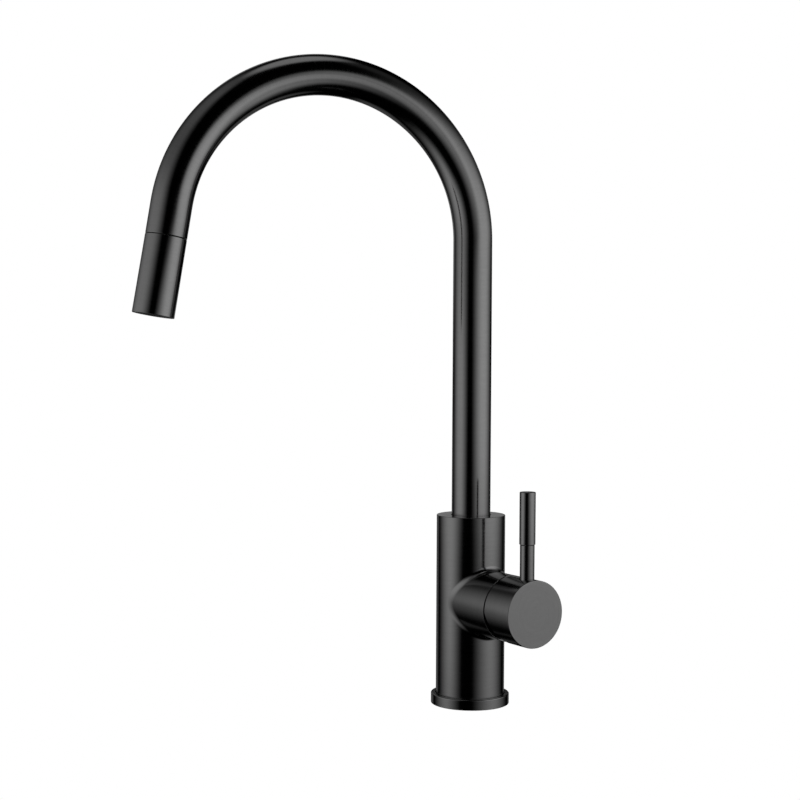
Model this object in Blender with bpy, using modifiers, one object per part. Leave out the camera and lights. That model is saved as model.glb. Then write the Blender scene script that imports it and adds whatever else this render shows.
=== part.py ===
"""Pull-down kitchen faucet with a side lever, as an assembly of separate pieces.

The origin is the centre of the flange's underside, which stands on the deck. +Z is up, the valve
branch and its lever knob point along +X, and -Y is the front. The spout rests turned a little
from the front. Everything below z = 0 is the clamping hardware under the deck.
"""

import math

import bmesh
import bpy
from mathutils import Matrix, Vector

MM = 0.001
GAP = 0.3 * MM
COLLECTION = "pull_down_kitchen_faucet"

# Base and body
FLANGE_RADIUS = 28.3 * MM
FLANGE_HEIGHT = 7.4 * MM
FLANGE_FLOOR = 3.0 * MM
BODY_RADIUS = 24.75 * MM
BODY_BORE = 22.0 * MM
BODY_TOP = 136.6 * MM
BODY_LID = 3.6 * MM
SOCKET_BOTTOM = 98.5 * MM

# Valve branch, cartridge and lever, measured out from the body's axis
VALVE_HEIGHT = 75.2 * MM
BRANCH_RADIUS = 23.35 * MM
BRANCH_BORE = 20.2 * MM
BRANCH_REACH = 48.8 * MM
SEAT_REACH = 13.0 * MM
PIVOT_REACH = 40.0 * MM
KNOB_BACK = 50.0 * MM
KNOB_FACE = 77.3 * MM
KNOB_HOLLOW = 20.3 * MM
DOME_RADIUS = 19.2 * MM
LEVER_REACH = 67.7 * MM
LEVER_RADIUS = 5.05 * MM
LEVER_TOP = 46.8 * MM
GRIP_RADIUS = 5.55 * MM
GRIP_TOP = 83.3 * MM
TILT_RANGE = math.radians(22.5)
STEM_RADIUS = 3.2 * MM
PORT_RADIUS = 2.4 * MM
INLET_PORT_SIDE = 8.5 * MM
INLET_PORT_DROP = 5.0 * MM
OUTLET_PORT_RISE = 9.5 * MM
DISC_OFFSET = 2.2 * MM
CARRIER_TOP = 30.0 * MM
BALL_REACH = 28.6 * MM
BALL_RADIUS = 2.6 * MM

# Spout
SPOUT_TURN = math.radians(-10.4)
TUBE_RADIUS = 14.0 * MM
TUBE_WALL = 1.2 * MM
TUBE_BOTTOM = 118.0 * MM
ARC_START = 333.7 * MM
ARC_RADIUS = 111.0 * MM
ARC_SWEEP = math.radians(180.0 - 9.56)
ARC_STEPS = 19
TAIL = 22.0 * MM
HOSE_RADIUS = 6.0 * MM
HOSE_SPLIT = 99.5 * MM
HOSE_LEAD = 1.5 * MM

# Spray head, along its own axis from the seam with the spout
HEAD_LENGTH = 53.35 * MM
HEAD_END_RADIUS = 14.2 * MM
NOSE_TOP = 8.2 * MM
CORE_END = 40.0 * MM

# Clamping under the deck, for a deck 30 mm thick
SHANK_RADIUS = 16.5 * MM
SHANK_BORE = 14.5 * MM
SHANK_BOTTOM = -62.0 * MM
DECK = 30.0 * MM
OUTLET_PIPE_SIDE = 10.4 * MM

# Sides of a turned piece, outside and inside
FINE = 40
PLAIN = 20


# Setting up

def clear_scene():
    for old in list(bpy.data.objects):
        bpy.data.objects.remove(old, do_unlink=True)


def new_collection(name):
    collection = bpy.data.collections.new(name)
    bpy.context.scene.collection.children.link(collection)
    return collection


def material(name, colour, roughness, metallic):
    made = bpy.data.materials.new(name)
    made.use_nodes = True
    shader = made.node_tree.nodes["Principled BSDF"]
    shader.inputs["Base Color"].default_value = (*colour, 1.0)
    shader.inputs["Roughness"].default_value = roughness
    shader.inputs["Metallic"].default_value = metallic
    made.diffuse_color = (*colour, 1.0)
    return made


clear_scene()
PARTS = new_collection(COLLECTION)
CUTTERS = new_collection("cutters")

COLOURS = {
    "gunmetal": ((0.12, 0.12, 0.12), 0.30, 1.0),
    "steel": ((0.55, 0.55, 0.56), 0.35, 1.0),
    "brass": ((0.62, 0.45, 0.20), 0.35, 1.0),
    "ceramic": ((0.80, 0.78, 0.74), 0.25, 0.0),
    "black_plastic": ((0.012, 0.012, 0.012), 0.45, 0.0),
    "white_plastic": ((0.70, 0.70, 0.68), 0.40, 0.0),
    "rubber": ((0.015, 0.015, 0.015), 0.80, 0.0),
    "magnet": ((0.06, 0.06, 0.07), 0.55, 1.0),
    "hose_braid": ((0.20, 0.20, 0.21), 0.55, 0.0),
}
LOOKS = {name: material(name, *values) for name, values in COLOURS.items()}


def place(obj, parent, location, rotation=(0.0, 0.0, 0.0)):
    obj.parent = parent
    obj.location = location
    obj.rotation_euler = rotation


def empty(name, parent=None, location=(0.0, 0.0, 0.0), rotation=(0.0, 0.0, 0.0)):
    made = bpy.data.objects.new(name, None)
    made.empty_display_size = 0.02
    PARTS.objects.link(made)
    place(made, parent, location, rotation)
    return made


# Shapes

def screw_mesh(name, outline, steps):
    """A mesh object turned about its local Z from (radius, height) points.

    The points run down the outer side. An outline that stays off the axis is closed into a ring.
    """
    mesh = bpy.data.meshes.new(name)
    closed = outline[0][0] > 0.0 and outline[-1][0] > 0.0
    edges = [(i, i + 1) for i in range(len(outline) - 1)]
    if closed:
        edges.append((len(outline) - 1, 0))
    mesh.from_pydata([(radius, 0.0, height) for radius, height in outline], edges, [])
    made = bpy.data.objects.new(name, mesh)
    turn = made.modifiers.new("Turn", "SCREW")
    turn.steps = turn.render_steps = steps
    turn.use_merge_vertices = True
    turn.merge_threshold = 0.00001
    turn.use_smooth_shade = True
    return made


def smooth(obj):
    """Shades a mesh smooth with crisp edges. A turned outline has no faces of its own yet."""
    if obj.type == "MESH" and obj.data.polygons:
        obj.data.shade_smooth()
        obj.data.set_sharp_from_angle(angle=math.radians(35.0))


def turned(name, outline, look, parent=None, location=(0.0, 0.0, 0.0), steps=PLAIN):
    made = screw_mesh(name, outline, steps)
    made.data.materials.append(LOOKS[look])
    PARTS.objects.link(made)
    place(made, parent, location)
    return made


def ring(name, inner, outer, bottom, top, look, parent=None, steps=PLAIN):
    outline = [(outer, top), (outer, bottom), (inner, bottom), (inner, top)]
    return turned(name, outline, look, parent, steps=steps)


def arc(centre, radius, start, end, count):
    """Points of an arc about (0, centre) in an outline, by angle from the axis."""
    angles = [start + (end - start) * i / (count - 1) for i in range(count)]
    return [(radius * math.sin(a), centre + radius * math.cos(a)) for a in angles]


def prism(name, radius, bottom, top, sides):
    """A capped cylinder or polygonal prism along local Z, as a mesh object in no collection."""
    mesh = bpy.data.meshes.new(name)
    shape = bmesh.new()
    bmesh.ops.create_cone(shape, cap_ends=True, segments=sides, radius1=radius, radius2=radius,
                          depth=top - bottom,
                          matrix=Matrix.Translation((0.0, 0.0, (top + bottom) / 2.0)))
    shape.to_mesh(mesh)
    shape.free()
    return bpy.data.objects.new(name, mesh)


def block(name, low, high):
    """A box from its low corner to its high corner, as a mesh object in no collection."""
    mesh = bpy.data.meshes.new(name)
    shape = bmesh.new()
    bmesh.ops.create_cube(shape, size=1.0)
    size = Vector(high) - Vector(low)
    middle = (Vector(high) + Vector(low)) / 2.0
    bmesh.ops.scale(shape, vec=size, verts=shape.verts)
    bmesh.ops.translate(shape, vec=middle, verts=shape.verts)
    shape.to_mesh(mesh)
    shape.free()
    return bpy.data.objects.new(name, mesh)


def combine(piece, tool, parent, location, rotation, operation):
    tool.name = f"{piece.name}_tool"
    tool.hide_render = True
    tool.display_type = "WIRE"
    CUTTERS.objects.link(tool)
    place(tool, parent, location, rotation)
    step = piece.modifiers.new(operation.title(), "BOOLEAN")
    step.operation = operation
    step.solver = "EXACT"
    step.object = tool


def cut(piece, tool, parent=None, location=(0.0, 0.0, 0.0), rotation=(0.0, 0.0, 0.0)):
    combine(piece, tool, parent, location, rotation, "DIFFERENCE")


def join(piece, tool, parent=None, location=(0.0, 0.0, 0.0), rotation=(0.0, 0.0, 0.0)):
    combine(piece, tool, parent, location, rotation, "UNION")


def pipe(name, points, radius, sides, look, parent, wall=None):
    """A tube along the points: solid with caps, or hollow where a wall is given."""
    curve = bpy.data.curves.new(name, "CURVE")
    curve.dimensions = "3D"
    curve.bevel_depth = radius
    curve.bevel_resolution = (sides - 4) // 2
    curve.use_fill_caps = wall is None
    spline = curve.splines.new("POLY")
    spline.points.add(len(points) - 1)
    for point, place_at in zip(spline.points, points):
        point.co = (*place_at, 1.0)
    made = bpy.data.objects.new(name, curve)
    curve.materials.append(LOOKS[look])
    PARTS.objects.link(made)
    place(made, parent, (0.0, 0.0, 0.0))
    if wall is not None:
        shell = made.modifiers.new("Wall", "SOLIDIFY")
        shell.thickness = wall
        shell.offset = -1.0
    return made


# Axes: each joint turns or slides its empty

spout_swivel = empty("spout_swivel", rotation=(0.0, 0.0, SPOUT_TURN))
valve_axis = empty("valve_axis", None, (0.0, 0.0, VALVE_HEIGHT), (0.0, math.pi / 2.0, 0.0))
temperature_turn = empty("temperature_turn", valve_axis)
flow_tilt = empty("flow_tilt", temperature_turn, (0.0, 0.0, PIVOT_REACH))
disc_slide = empty("disc_slide", temperature_turn)
lever_axis = empty("lever_axis", flow_tilt, (0.0, 0.0, LEVER_REACH - PIVOT_REACH),
                   (0.0, -math.pi / 2.0, 0.0))


def spout_point(angle):
    """A point of the spout's arc in the swivel's frame, by the angle turned from vertical."""
    out = ARC_RADIUS * (1.0 - math.cos(angle))
    return Vector((0.0, -out, ARC_START + ARC_RADIUS * math.sin(angle)))


arc_end = spout_point(ARC_SWEEP)
down = Vector((0.0, -math.sin(ARC_SWEEP), math.cos(ARC_SWEEP)))
seam = arc_end + down * TAIL
# The head's frame has its Z up the outlet axis, so heights below the seam are negative there.
head_tip = ARC_SWEEP - math.pi
outlet_axis = empty("outlet_axis", spout_swivel, seam, (head_tip, 0.0, 0.0))
head_pull = empty("head_pull", outlet_axis)
head_spin = empty("head_spin", head_pull)


# Base, clamp and body

def build_base():
    turned("base_flange", [
        (FLANGE_RADIUS - 0.7 * MM, FLANGE_HEIGHT), (FLANGE_RADIUS, FLANGE_HEIGHT - 0.7 * MM),
        (FLANGE_RADIUS, 0.3 * MM), (FLANGE_RADIUS - 0.3 * MM, 0.0),
        (BODY_BORE, 0.0), (BODY_BORE, FLANGE_FLOOR),
        (BODY_RADIUS + 0.4 * MM, FLANGE_FLOOR), (BODY_RADIUS + 0.4 * MM, FLANGE_HEIGHT),
    ], "gunmetal", steps=FINE)
    ring("base_gasket", SHANK_RADIUS + GAP, BODY_BORE - GAP, 0.0, FLANGE_FLOOR, "rubber")
    ring("base_plug", SHANK_RADIUS + GAP, BODY_BORE - GAP, FLANGE_FLOOR + GAP, 16.0 * MM, "brass")
    ring("mounting_shank", SHANK_BORE, SHANK_RADIUS, SHANK_BOTTOM, 20.0 * MM, "brass")


def build_clamp():
    hole = SHANK_RADIUS + 0.5 * MM
    ring("deck_seal_washer", hole, 27.0 * MM, -DECK - 3.0 * MM, -DECK, "rubber")
    washer_bottom = -DECK - 5.3 * MM
    ring("clamp_washer", hole, 26.0 * MM, washer_bottom, -DECK - 3.0 * MM - GAP, "steel")
    nut_top = washer_bottom - GAP
    nut = prism("mounting_nut", 25.0 * MM, nut_top - 10.0 * MM, nut_top, 6)
    nut.data.materials.append(LOOKS["brass"])
    PARTS.objects.link(nut)
    bore = prism("bore", SHANK_RADIUS + GAP, nut_top - 11.0 * MM, nut_top + 1.0 * MM, PLAIN)
    cut(nut, bore)


def build_body():
    rim = 0.4 * MM
    body = turned("body_shell", [
        (0.0, BODY_TOP), (BODY_RADIUS - rim, BODY_TOP), (BODY_RADIUS, BODY_TOP - rim),
        (BODY_RADIUS, FLANGE_FLOOR + GAP), (0.0, FLANGE_FLOOR + GAP),
    ], "gunmetal", steps=FINE)
    branch = screw_mesh("branch", [
        (0.0, BRANCH_REACH), (BRANCH_RADIUS - rim, BRANCH_REACH),
        (BRANCH_RADIUS, BRANCH_REACH - rim), (BRANCH_RADIUS, 0.0), (0.0, 0.0),
    ], FINE)
    join(body, branch, valve_axis)
    lid_bottom = BODY_TOP - BODY_LID
    cavity = screw_mesh("cavity", [
        (0.0, BODY_TOP + 5.0 * MM), (TUBE_RADIUS + 0.5 * MM, BODY_TOP + 5.0 * MM),
        (TUBE_RADIUS + 0.5 * MM, lid_bottom), (BODY_BORE, lid_bottom), (BODY_BORE, -5.0 * MM),
        (0.0, -5.0 * MM),
    ], FINE)
    cut(body, cavity)
    cut(body, prism("bore", BRANCH_BORE, 0.0, BRANCH_REACH + 5.0 * MM, FINE), valve_axis)


def build_spout_bearing():
    outer, bore = BODY_BORE - GAP, 16.4 * MM
    lid_bottom = BODY_TOP - BODY_LID
    turned("spout_socket", [
        (outer, lid_bottom - GAP), (outer, SOCKET_BOTTOM), (17.0 * MM, SOCKET_BOTTOM),
        (17.0 * MM, 104.9 * MM), (TUBE_RADIUS + 0.5 * MM, 104.9 * MM),
        (TUBE_RADIUS + 0.5 * MM, 106.4 * MM), (bore, 106.4 * MM), (bore, lid_bottom - GAP),
    ], "brass")
    for name, bottom, top in (("lower_bush", 106.7 * MM, 117.0 * MM),
                              ("upper_bush", 119.0 * MM, lid_bottom - GAP)):
        ring(name, TUBE_RADIUS + GAP, bore - GAP, bottom, top, "white_plastic")


# Valve

def valve_ports(piece, radius, bottom, top):
    """Cuts the two inlet ports and the outlet port. Local X points down in the valve's frame."""
    centres = [(INLET_PORT_DROP, side * INLET_PORT_SIDE) for side in (-1.0, 1.0)]
    centres.append((-OUTLET_PORT_RISE, 0.0))
    for x, y in centres:
        cut(piece, prism("port", radius, bottom, top, 16), valve_axis, (x, y, 0.0))


def build_valve_block():
    bottom, top = 54.0 * MM, 96.0 * MM
    made = prism("valve_block", BODY_BORE - GAP, bottom, top, PLAIN)
    made.data.materials.append(LOOKS["brass"])
    PARTS.objects.link(made)
    edge = 30.0 * MM
    cut(made, block("seat", (SEAT_REACH, -edge, bottom - MM), (edge, edge, top + MM)))
    hose_way = HOSE_RADIUS + 0.6 * MM
    cut(made, prism("hose_way", hose_way, bottom - MM, top + MM, 24))
    inlet_top = VALVE_HEIGHT - INLET_PORT_DROP
    for side in (-1.0, 1.0):
        inlet = prism("inlet", 3.2 * MM, bottom - MM, inlet_top, 16)
        cut(made, inlet, None, (3.0 * MM, side * 11.5 * MM, 0.0))
        port = prism("port", PORT_RADIUS, 3.0 * MM, SEAT_REACH + MM, 16)
        cut(made, port, valve_axis, (INLET_PORT_DROP, side * INLET_PORT_SIDE, 0.0))
    outlet_height = VALVE_HEIGHT + OUTLET_PORT_RISE
    cut(made, half_ring_way(outlet_height))
    port = prism("port", PORT_RADIUS, OUTLET_PIPE_SIDE, SEAT_REACH + MM, 16)
    cut(made, port, valve_axis, (-OUTLET_PORT_RISE, 0.0, 0.0))
    outlet = prism("outlet", 2.7 * MM, bottom - MM, outlet_height, 16)
    cut(made, outlet, None, (-OUTLET_PIPE_SIDE, 0.0, 0.0))
    joint = prism("pipe_joint", 3.8 * MM, bottom - MM, bottom + 7.0 * MM, 20)
    cut(made, joint, None, (-OUTLET_PIPE_SIDE, 0.0, 0.0))


def half_ring_way(height):
    """The cast waterway that leads the mixed water half way round the hose, as a mesh."""
    count = 13
    turns = [math.pi * i / (count - 1) for i in range(count)]
    points = [(OUTLET_PIPE_SIDE * math.cos(t), OUTLET_PIPE_SIDE * math.sin(t), height)
              for t in turns]
    tube = pipe("waterway", points, 2.2 * MM, 10, "brass", None)
    graph = bpy.context.evaluated_depsgraph_get()
    mesh = bpy.data.meshes.new_from_object(tube.evaluated_get(graph))
    bpy.data.objects.remove(tube, do_unlink=True)
    shape = bmesh.new()
    shape.from_mesh(mesh)
    bmesh.ops.remove_doubles(shape, verts=shape.verts, dist=0.00001)
    bmesh.ops.recalc_face_normals(shape, faces=shape.faces)
    shape.to_mesh(mesh)
    shape.free()
    return bpy.data.objects.new("waterway", mesh)


def build_cartridge():
    seal = ring_disc("cartridge_seal", 16.9 * MM, 13.3 * MM, 14.6 * MM, "rubber", valve_axis)
    valve_ports(seal, PORT_RADIUS + 0.4 * MM, 12.0 * MM, 16.0 * MM)
    base = ring_disc("cartridge_base", 17.2 * MM, 14.9 * MM, 18.1 * MM, "white_plastic", valve_axis)
    valve_ports(base, PORT_RADIUS, 14.0 * MM, 19.0 * MM)
    fixed = ring_disc("fixed_disc", 14.6 * MM, 18.4 * MM, 21.4 * MM, "ceramic", valve_axis)
    valve_ports(fixed, PORT_RADIUS, 18.0 * MM, 22.0 * MM)
    turned("cartridge_housing", [
        (14.1 * MM, 45.5 * MM), (14.1 * MM, 36.1 * MM), (17.5 * MM, 36.1 * MM),
        (17.5 * MM, 18.4 * MM), (15.0 * MM, 18.4 * MM), (15.0 * MM, 33.5 * MM),
        (11.8 * MM, 33.5 * MM), (11.8 * MM, 45.5 * MM),
    ], "white_plastic", valve_axis)
    ring("cartridge_nut", 14.4 * MM, BRANCH_BORE - GAP, 36.4 * MM, 44.3 * MM, "brass", valve_axis)


def ring_disc(name, radius, bottom, top, look, parent):
    return turned(name, [(0.0, top), (radius, top), (radius, bottom), (0.0, bottom)], look, parent)


def build_dome_cover():
    opening, wall = 11.5 * MM, 1.1 * MM
    flat = 48.2 * MM
    inner = DOME_RADIUS - wall
    outer_points = arc(PIVOT_REACH, DOME_RADIUS, math.asin(opening / DOME_RADIUS),
                       math.acos((flat - PIVOT_REACH) / DOME_RADIUS), 5)
    inner_points = arc(PIVOT_REACH, inner, math.acos((flat - wall - PIVOT_REACH) / inner),
                       math.asin(opening / inner), 5)
    skirt, skirt_bottom = BRANCH_BORE - GAP, 44.6 * MM
    turned("dome_cover", [
        *outer_points, (skirt - 0.3 * MM, flat), (skirt, flat - 0.3 * MM),
        (skirt, skirt_bottom), (skirt - wall, skirt_bottom), (skirt - wall, flat - wall),
        *inner_points,
    ], "gunmetal", valve_axis, steps=28)


def build_driver():
    driver = turned("cartridge_driver", [
        (0.0, 46.0 * MM), (11.5 * MM, 46.0 * MM), (11.5 * MM, 33.2 * MM), (14.7 * MM, 33.2 * MM),
        (14.7 * MM, CARRIER_TOP + GAP), (0.0, CARRIER_TOP + GAP),
    ], "white_plastic", temperature_turn)
    slot = block("slot", (-7.6 * MM, -3.9 * MM, 27.0 * MM), (7.6 * MM, 3.9 * MM, 47.0 * MM))
    cut(driver, slot, temperature_turn)
    across = (math.pi / 2.0, 0.0, 0.0)
    hole = prism("pin_hole", 1.55 * MM, -20.0 * MM, 20.0 * MM, 16)
    cut(driver, hole, flow_tilt, rotation=across)
    pin = prism("stem_pin", 1.25 * MM, -11.0 * MM, 11.0 * MM, 16)
    pin.data.materials.append(LOOKS["steel"])
    PARTS.objects.link(pin)
    place(pin, temperature_turn, (0.0, 0.0, PIVOT_REACH), across)


def build_moving_disc():
    top, bottom, recess = 24.7 * MM, 21.7 * MM, 1.4 * MM
    turned("moving_disc", [
        (0.0, top), (10.5 * MM, top), (10.5 * MM, bottom), (6.5 * MM, bottom),
        (6.5 * MM, bottom + recess), (0.0, bottom + recess),
    ], "ceramic", disc_slide, (DISC_OFFSET, 0.0, 0.0))
    carrier = turned("disc_carrier", [
        (0.0, CARRIER_TOP), (11.5 * MM, CARRIER_TOP), (11.5 * MM, top + GAP), (0.0, top + GAP),
    ], "white_plastic", disc_slide, (DISC_OFFSET, 0.0, 0.0))
    pocket_bottom = BALL_REACH - BALL_RADIUS - GAP
    pocket = prism("ball_pocket", BALL_RADIUS + 0.4 * MM, pocket_bottom, CARRIER_TOP + MM, 24)
    cut(carrier, pocket, disc_slide)


# Handle

def build_stem():
    """The cartridge's lever arm, measured from its pivot: ball below, shaft above."""
    neck = 1.9 * MM
    centre = BALL_REACH - PIVOT_REACH
    ball = arc(centre, BALL_RADIUS, math.asin(neck / BALL_RADIUS), math.pi, 6)
    ball[-1] = (0.0, centre - BALL_RADIUS)
    stem = turned("cartridge_stem", [
        (0.0, 32.0 * MM), (STEM_RADIUS, 32.0 * MM), (STEM_RADIUS, -7.5 * MM), (neck, -8.1 * MM),
        *ball,
    ], "steel", flow_tilt)
    hole = prism("pin_hole", 1.55 * MM, -20.0 * MM, 20.0 * MM, 16)
    cut(stem, hole, flow_tilt, rotation=(math.pi / 2.0, 0.0, 0.0))


def build_knob():
    """The round hub: hollow behind to clear the dome, its lower back sloped to let it tilt."""
    rim, socket = 0.5 * MM, STEM_RADIUS + GAP
    back, face = KNOB_BACK - PIVOT_REACH, KNOB_FACE - PIVOT_REACH
    hollow = arc(0.0, KNOB_HOLLOW, math.acos(back / KNOB_HOLLOW), math.asin(socket / KNOB_HOLLOW), 7)
    knob = turned("knob", [
        (0.0, face), (BRANCH_RADIUS - rim, face), (BRANCH_RADIUS, face - rim),
        (BRANCH_RADIUS, back + 0.3 * MM), (BRANCH_RADIUS - 0.3 * MM, back),
        *hollow, (socket, 32.4 * MM), (0.0, 32.4 * MM),
    ], "gunmetal", flow_tilt, steps=FINE)
    wide, long = 40.0 * MM, 60.0 * MM
    slope = block("tilt_slope", (0.0, -wide, -long), (long, wide, 0.0))
    cut(knob, slope, flow_tilt, (0.0, 0.0, back), (0.0, -TILT_RANGE, 0.0))
    screw_hole = prism("screw_hole", 2.5 * MM, -30.0 * MM, 0.0, 20)
    cut(knob, screw_hole, lever_axis, (0.0, 0.0, 0.0))
    stud_hole = screw_mesh("stud_hole", [
        (0.0, 30.0 * MM), (LEVER_RADIUS + GAP, 30.0 * MM), (LEVER_RADIUS + GAP, 20.6 * MM),
        (3.3 * MM, 20.6 * MM), (3.3 * MM, 9.4 * MM), (0.0, 9.4 * MM),
    ], 32)
    cut(knob, stud_hole, lever_axis)
    screw = turned("knob_grub_screw", [
        (0.0, -3.5 * MM), (2.2 * MM, -3.5 * MM), (2.2 * MM, -11.5 * MM), (0.0, -11.5 * MM),
    ], "steel", lever_axis, steps=20)
    cut(screw, prism("hex_socket", 1.3 * MM, -13.0 * MM, -9.0 * MM, 6), lever_axis)


def build_lever():
    stud, spigot = 3.0 * MM, 3.2 * MM
    turned("lever_rod", [
        (0.0, 60.0 * MM), (spigot, 60.0 * MM), (spigot, LEVER_TOP), (LEVER_RADIUS, LEVER_TOP),
        (LEVER_RADIUS, 20.9 * MM), (stud, 20.9 * MM), (stud, 9.7 * MM), (0.0, 9.7 * MM),
    ], "gunmetal", lever_axis, steps=24)
    rim = 0.5 * MM
    turned("lever_grip", [
        (0.0, GRIP_TOP), (GRIP_RADIUS - rim, GRIP_TOP), (GRIP_RADIUS, GRIP_TOP - rim),
        (GRIP_RADIUS, LEVER_TOP + GAP), (spigot + GAP, LEVER_TOP + GAP),
        (spigot + GAP, 60.5 * MM), (0.0, 60.5 * MM),
    ], "gunmetal", lever_axis, steps=24)


# Spout

def arc_points():
    return [spout_point(ARC_SWEEP * i / ARC_STEPS) for i in range(ARC_STEPS + 1)]


def build_spout():
    route = [Vector((0.0, 0.0, TUBE_BOTTOM)), *arc_points(), seam]
    pipe("spout_tube", route, TUBE_RADIUS, 24, "gunmetal", spout_swivel, TUBE_WALL)
    bore = 9.5 * MM
    inside = TUBE_RADIUS - TUBE_WALL - GAP
    turned("swivel_spigot", [
        (inside, 142.0 * MM), (inside, TUBE_BOTTOM - GAP), (TUBE_RADIUS, TUBE_BOTTOM - GAP),
        (TUBE_RADIUS, 104.6 * MM), (12.9 * MM, 104.6 * MM), (12.9 * MM, 103.0 * MM),
        (TUBE_RADIUS, 103.0 * MM), (TUBE_RADIUS, 100.0 * MM), (bore, 100.0 * MM), (bore, 142.0 * MM),
    ], "brass", spout_swivel)
    clip = ring("spout_retaining_ring", 13.2 * MM, 16.2 * MM, 103.3 * MM, 104.3 * MM, "steel",
                spout_swivel)
    cut(clip, block("clip_mouth", (-2.5 * MM, 5.0 * MM, 100.0 * MM), (2.5 * MM, 20.0 * MM, 110.0 * MM)),
        spout_swivel)
    bottom = Vector((0.0, 0.0, HOSE_SPLIT + GAP))
    top = arc_end + down * HOSE_LEAD
    pipe("hose_in_spout", [bottom, *arc_points(), top], HOSE_RADIUS, 10, "hose_braid", spout_swivel)


def build_dock():
    """The pieces inside the spout's mouth that hold the head: heights are up from the seam."""
    outer = TUBE_RADIUS - TUBE_WALL - GAP
    turned("dock_sleeve", [
        (outer, 10.0 * MM), (outer, 1.0 * MM), (11.6 * MM, 1.0 * MM), (11.0 * MM, 2.0 * MM),
        (11.0 * MM, 10.0 * MM),
    ], "black_plastic", outlet_axis)
    ring("dock_magnet", 8.6 * MM, outer, 10.3 * MM, 14.3 * MM, "magnet", outlet_axis)
    turned("hose_guide", [
        (outer, 21.5 * MM), (outer, 14.6 * MM), (7.7 * MM, 14.6 * MM), (7.7 * MM, 19.5 * MM),
        (9.5 * MM, 21.5 * MM),
    ], "black_plastic", outlet_axis)


def build_hose_end():
    top, bottom = TAIL - HOSE_LEAD - GAP, 12.0 * MM
    hose = prism("hose_end", HOSE_RADIUS, bottom, top, 24)
    hose.data.materials.append(LOOKS["hose_braid"])
    PARTS.objects.link(hose)
    place(hose, head_pull, (0.0, 0.0, 0.0))
    turned("hose_ferrule", [
        (7.2 * MM, 20.5 * MM), (7.2 * MM, 10.2 * MM), (3.9 * MM, 10.2 * MM), (3.9 * MM, -7.0 * MM),
        (6.5 * MM, -7.0 * MM), (6.5 * MM, -8.4 * MM), (2.8 * MM, -8.4 * MM), (2.8 * MM, bottom - GAP),
        (6.3 * MM, bottom - GAP), (6.3 * MM, 20.5 * MM),
    ], "steel", head_pull)


# Spray head: heights are negative below the seam

def build_head():
    end, rim = -HEAD_LENGTH, 0.3 * MM
    top_opening = 10.9 * MM
    turned("head_shell", [
        (TUBE_RADIUS - rim, -GAP), (TUBE_RADIUS, -GAP - rim), (HEAD_END_RADIUS, end + rim),
        (HEAD_END_RADIUS - rim, end), (13.0 * MM, end), (12.8 * MM, -1.9 * MM),
        (top_opening, -1.9 * MM), (top_opening, -GAP),
    ], "gunmetal", head_spin, steps=FINE)
    nose = 10.6 * MM
    turned("head_core", [
        (nose, NOSE_TOP), (nose, -2.2 * MM), (12.4 * MM, -2.2 * MM), (12.4 * MM, -CORE_END),
        (10.0 * MM, -CORE_END), (10.0 * MM, -24.5 * MM), (3.5 * MM, -24.5 * MM),
        (3.5 * MM, -22.3 * MM), (5.9 * MM, -22.3 * MM), (5.9 * MM, -10.5 * MM),
        (8.3 * MM, -10.5 * MM), (8.3 * MM, NOSE_TOP),
    ], "black_plastic", head_spin)
    plate_bottom = NOSE_TOP + 0.2 * MM
    ring("dock_plate", 4.4 * MM, nose, plate_bottom, 9.7 * MM, "steel", head_spin)
    ring("hose_nut", 4.2 * MM, 8.0 * MM, -6.7 * MM, 8.1 * MM, "brass", head_spin)
    ring("hose_washer", 3.5 * MM, 8.0 * MM, -10.2 * MM, -8.7 * MM, "rubber", head_spin)
    turned("check_valve", [
        (5.6 * MM, -10.8 * MM), (5.6 * MM, -22.0 * MM), (1.2 * MM, -22.0 * MM),
        (3.6 * MM, -14.5 * MM), (3.6 * MM, -10.8 * MM),
    ], "rubber", head_spin)


def build_outlet():
    face = -HEAD_LENGTH + 0.35 * MM
    lip = face + 1.2 * MM
    top = -CORE_END - GAP
    turned("outlet_ring", [
        (12.6 * MM, top), (12.6 * MM, face), (9.2 * MM, face), (9.2 * MM, lip), (10.6 * MM, lip),
        (10.6 * MM, top),
    ], "black_plastic", head_spin)
    ring("aerator_seal", 7.0 * MM, 10.3 * MM, top - 1.4 * MM, top, "rubber", head_spin)
    insert_top = top - 1.4 * MM - GAP
    insert = turned("aerator_insert", [
        (0.0, insert_top - 4.0 * MM), (7.5 * MM, insert_top - 4.0 * MM), (8.3 * MM, insert_top),
        (10.3 * MM, insert_top), (10.3 * MM, lip + GAP), (0.0, lip + GAP),
    ], "white_plastic", head_spin)
    holes = 8
    for i in range(holes):
        turn = 2.0 * math.pi * (i + 0.37) / holes
        centre = (5.6 * MM * math.cos(turn), 5.6 * MM * math.sin(turn), 0.0)
        cut(insert, prism("jet", 1.2 * MM, lip - MM, insert_top + MM, 10), head_spin, centre)


def build_waterways():
    """The hose and the rigid outlet pipe that run down through the body and the shank."""
    hose = prism("hose_in_body", HOSE_RADIUS, SHANK_BOTTOM - MM, HOSE_SPLIT, 24)
    hose.data.materials.append(LOOKS["hose_braid"])
    PARTS.objects.link(hose)
    side = (-OUTLET_PIPE_SIDE, 0.0, 0.0)
    pipe_end = SHANK_BOTTOM - 12.0 * MM
    turned("outlet_pipe", [
        (3.5 * MM, 60.5 * MM), (3.5 * MM, pipe_end), (2.7 * MM, pipe_end), (2.7 * MM, 60.5 * MM),
    ], "steel", None, side, steps=20)
    turned("outlet_coupler", [
        (5.2 * MM, SHANK_BOTTOM - 3.0 * MM), (5.2 * MM, pipe_end - 8.0 * MM),
        (2.7 * MM, pipe_end - 8.0 * MM), (2.7 * MM, pipe_end - GAP), (3.8 * MM, pipe_end - GAP),
        (3.8 * MM, SHANK_BOTTOM - 3.0 * MM),
    ], "brass", None, side, steps=24)


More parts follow.
